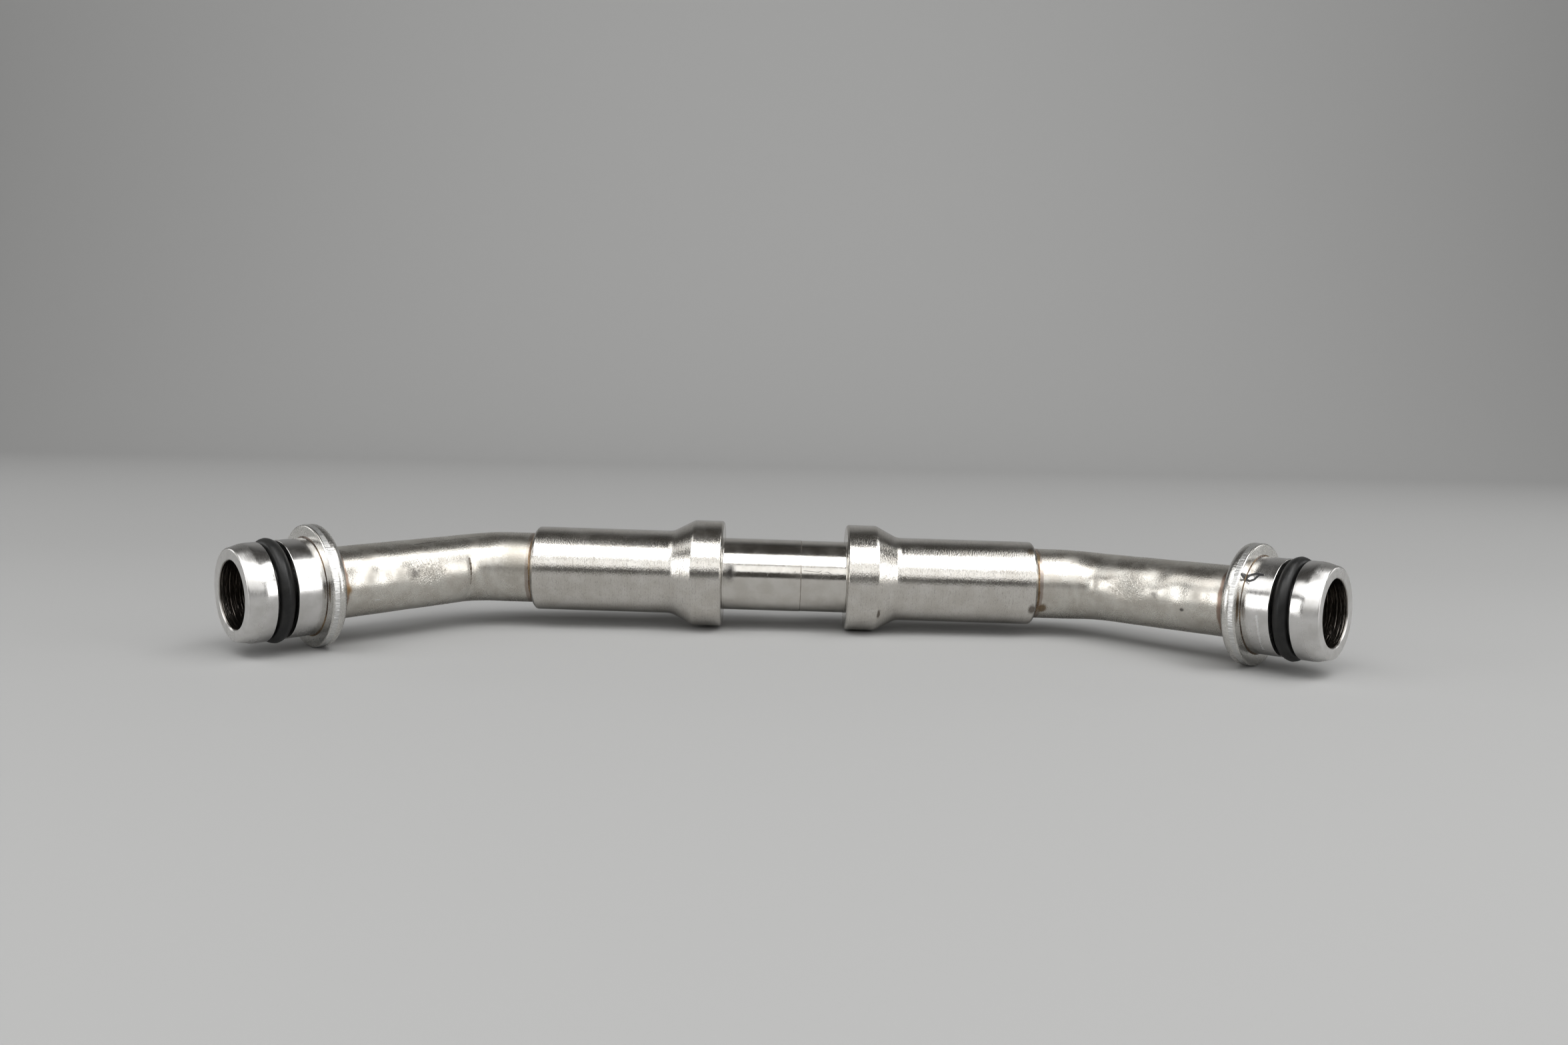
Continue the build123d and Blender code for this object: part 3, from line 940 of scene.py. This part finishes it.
def flangeBraze(side, place, material):
    # the filler in the countersink stands a little proud between spigot and flange ring
    lip = braze["flangeLip"]
    hole, sink = flangeRing["hole"] / 2, flangeRing["countersink"]
    seat, proud = spigot["diameter"] / 2, lip["proud"]
    bm = outlineOf([
        (-sink, seat - lip["sunk"], 0),
        (proud * 1.5, seat - lip["sunk"], 0),
        (proud, seat + sink * 0.5, lip["rounding"]),
        (-lip["sunk"], hole + sink + lip["overlap"], 0),
        (-sink, hole, 0),
    ])
    spinOutline(bm, braze["steps"])
    for vert in bm.verts:
        angle = math.radians(degreesOf(vert.co))
        if vert.co.x > 0:
            swell = roundNoise(angle, lip["swellWaves"], 8)
            swell += lip["ripple"] * roundNoise(angle, lip["rippleWaves"], 2)
            vert.co.x *= 1 + lip["swell"] * swell
    finishPiece(bm, side + "FlangeBraze", place, material, side + "_flange_braze", sharp=60)


# Sealing rings

sealRing = {
    "section": 2.3, "centreRadius": 7.2, "sectionPoints": 40, "partingRidge": 0.035, "steps": 224,
    "rubber": {
        "black": (0.005, 0.005, 0.005, 1), "worn": (0.009, 0.009, 0.009, 1), "pitSize": 0.18, "depth": 0.008,
        "roughness": 0.30, "spread": 0.14, "shine": 0.3,
        "dust": (0.045, 0.045, 0.04, 1), "dustSize": 2.5, "dustRoughness": 0.55, "dustAmount": 0.2,
    },
}


def rubber(look):
    made = Finish("sealRubber", centreBody["place"])
    grain = made.group("grain", Pit_Size=look["pitSize"], Pit_Length=look["pitSize"], Line_Share=0.0)
    dust = made.group("film", Size=look["dustSize"], Cover=1.0)["Mask"]
    made.colour = blendColour(made.tree, grain["Patches"], look["black"], look["worn"])
    made.height = grain["Height"]
    made.roughness = rescale(made.tree, grain["Height"], 0.3, 0.7, look["roughness"],
                             look["roughness"] + look["spread"])
    made.metallic = 0.0
    made.cover(dust, look["dust"], look["dustRoughness"], 0.0, look["dustAmount"])
    return made.finish(look["depth"], **{"Specular IOR Level": look["shine"]})


def makeSealRing(side, place, material):
    bm = bmesh.new()
    middle = (spigot["seat"] + spigot["grooveFront"]) / 2
    radius = sealRing["section"] / 2
    bmesh.ops.create_circle(bm, segments=sealRing["sectionPoints"], radius=radius)
    for vert in bm.verts:
        if abs(vert.co.x) < 1e-4:
            vert.co.y += math.copysign(sealRing["partingRidge"], vert.co.y)  # the mould's parting line
    bmesh.ops.translate(bm, vec=(middle, sealRing["centreRadius"], 0), verts=bm.verts[:])
    spinOutline(bm, sealRing["steps"])
    finishPiece(bm, side + "SealRing", place, material, side + "_seal_ring", sharp=80)


makeCentreBody(centreBody)
filler = brazeMetal("fillerMetal", "joint")
flangeFiller = brazeMetal("flangeFiller", "flange")
sealRubber = rubber(sealRing["rubber"])
print("centre body, filler metal and rubber made")
for side in ("left", "right"):
    mouth = mounts[side + "_mouth"]
    outward = Vector(mounts["waist_seat"]["axis"]) * (1 if side == "right" else -1)
    flangeFront = Vector(mouth["pos_m"]) - Vector(mouth["axis"]) * spigot["mouthCentre"] * mm
    tubePlace = placeOf(mounts["waist_seat"]["pos_m"], outward, mouth["axis"])
    spigotPlace = placeOf(flangeFront, mouth["axis"], -outward)
    makeTube(side, tubePlace)
    makeSpigot(side, spigotPlace)
    makeFlangeRing(side, spigotPlace)
    makeSealRing(side, spigotPlace, sealRubber)
    brazeRing(side + "SleeveBraze", (centreBody["end"], tube["diameter"] / 2), braze["sleeveFillet"], 1,
              tubePlace, side + "_sleeve_braze", filler, braze["blobs"][side]["sleeve"])
    brazeRing(side + "TailBraze", (-spigot["back"], tube["drawnDiameter"] / 2), braze["tailFillet"], -1,
              spigotPlace, side + "_tail_braze", filler, braze["blobs"][side]["tail"])
    flangeBraze(side, spigotPlace, flangeFiller)
    print(side, "end made")


# Floor, light and camera; these are in metres

studio = {
    "width": 8.0, "front": -4.0, "back": 0.45, "sweep": 0.35, "sweepSteps": 32, "height": 1.5,
    "floorColour": (0.34, 0.34, 0.337, 1), "floorRoughness": 0.85, "world": (0.055, 0.052, 0.048, 1),
}


def makeSweep():
    # one pale sheet: flat under the part, and curved up behind it
    bm = bmesh.new()
    half = studio["width"] / 2
    points = [(-half, studio["front"], 0), (-half, studio["back"] + studio["sweep"], 0),
              (-half, studio["back"] + studio["sweep"], studio["height"])]
    verts = [bm.verts.new(point) for point in points]
    for start, end in zip(verts, verts[1:]):
        bm.edges.new((start, end))
    bmesh.ops.bevel(bm, geom=[verts[1]], offset=studio["sweep"], offset_type="OFFSET",
                    segments=studio["sweepSteps"], profile=0.5, affect="VERTICES", material=-1)
    made = bmesh.ops.extrude_edge_only(bm, edges=bm.edges[:])
    moved = [item for item in made["geom"] if isinstance(item, bmesh.types.BMVert)]
    bmesh.ops.translate(bm, vec=(studio["width"], 0, 0), verts=moved)
    bmesh.ops.recalc_face_normals(bm, faces=bm.faces[:])
    mesh = bpy.data.meshes.new("sweep")
    bm.to_mesh(mesh)
    bm.free()
    mesh.shade_smooth()
    paper = bpy.data.materials.new("palePaper")
    paper.use_nodes = True
    shader = paper.node_tree.nodes["Principled BSDF"]
    shader.inputs["Base Color"].default_value = studio["floorColour"]
    shader.inputs["Roughness"].default_value = studio["floorRoughness"]
    mesh.materials.append(paper)
    sweep = bpy.data.objects.new("sweep", mesh)
    bpy.context.scene.collection.objects.link(sweep)


# soft boxes: degrees round from the front and above the floor as seen from the part, then metres and watts
softBoxes = {
    "key": {"azimuth": 0, "elevation": 60, "distance": 0.70, "size": (0.88, 0.43), "power": 4.0},
    "front": {"azimuth": 0, "elevation": 27.5, "distance": 0.80, "size": (1.50, 0.30), "power": 2.0},
    "left": {"azimuth": -67, "elevation": 15, "distance": 0.62, "size": (0.22, 0.33), "power": 0.8},
    "right": {"azimuth": 67, "elevation": 15, "distance": 0.62, "size": (0.22, 0.33), "power": 0.8},
    "leftRear": {"azimuth": -103, "elevation": 13, "distance": 0.62, "size": (0.12, 0.26), "power": 0.25},
    "rightRear": {"azimuth": 103, "elevation": 13, "distance": 0.62, "size": (0.12, 0.26), "power": 0.25},
    "rightHigh": {"azimuth": 60, "elevation": 53, "distance": 0.70, "size": (0.32, 0.46), "power": 1.65},
    "rightTop": {"azimuth": 98, "elevation": 60, "distance": 0.72, "size": (0.22, 0.26), "power": 0.55},
    "leftHigh": {"azimuth": -72, "elevation": 56, "distance": 0.70, "size": (0.44, 0.38), "power": 0.90},
}
lampAim = (0, 0, 0.01)  # the middle of the part
# a lamp behind the part that faces away from it and lights only the back of the sweep
backLamp = {"place": (0, 0.2, 0.5), "away": (0, -1, 0.2), "size": (2.0, 0.3), "power": 3.0}


def addLamp(name, place, away, size, power):
    # a flat lamp that shines the opposite way to away
    data = bpy.data.lights.new(name, "AREA")
    data.shape = "RECTANGLE"
    data.size, data.size_y = size
    data.energy = power
    light = bpy.data.objects.new(name, data)
    light.location = place
    light.rotation_euler = Vector(away).to_track_quat("Z", "Y").to_euler()
    light.visible_camera = False
    bpy.context.scene.collection.objects.link(light)


def makeLights():
    for name, box in softBoxes.items():
        around, above = math.radians(box["azimuth"]), math.radians(box["elevation"])
        towards = Vector((math.sin(around) * math.cos(above), -math.cos(around) * math.cos(above),
                          math.sin(above)))
        addLamp(name + "Box", Vector(lampAim) + towards * box["distance"], towards, box["size"], box["power"])
    addLamp("backLamp", backLamp["place"], backLamp["away"], backLamp["size"], backLamp["power"])
    world = bpy.data.worlds.new("studioAir")
    world.use_nodes = True
    world.node_tree.nodes["Background"].inputs["Color"].default_value = studio["world"]
    bpy.context.scene.world = world
    bpy.context.scene.view_settings.view_transform = "Standard"


# the photograph's view of the part: place, lens and sensor in millimetres, angles in degrees
view = {
    "place": (-1.082, -191.846, 43.06), "heading": 0.24, "down": 6.60, "roll": 1.18, "focal": 26.25,
    "sensor": 36.0, "nearest": 10.0,
}


def makeCamera():
    data = bpy.data.cameras.new("photoView")
    data.lens = view["focal"]
    data.sensor_width = view["sensor"]
    data.clip_start = view["nearest"] * mm
    camera = bpy.data.objects.new("photoView", data)
    turn = (Matrix.Rotation(-math.radians(view["heading"]), 4, "Z")
            @ Matrix.Rotation(math.radians(90 - view["down"]), 4, "X")
            @ Matrix.Rotation(math.radians(view["roll"]), 4, "Z"))
    camera.matrix_world = Matrix.Translation(Vector(view["place"]) * mm) @ turn
    bpy.context.scene.collection.objects.link(camera)
    bpy.context.scene.camera = camera


makeSweep()
makeLights()
makeCamera()
print("stage, lights and camera set")
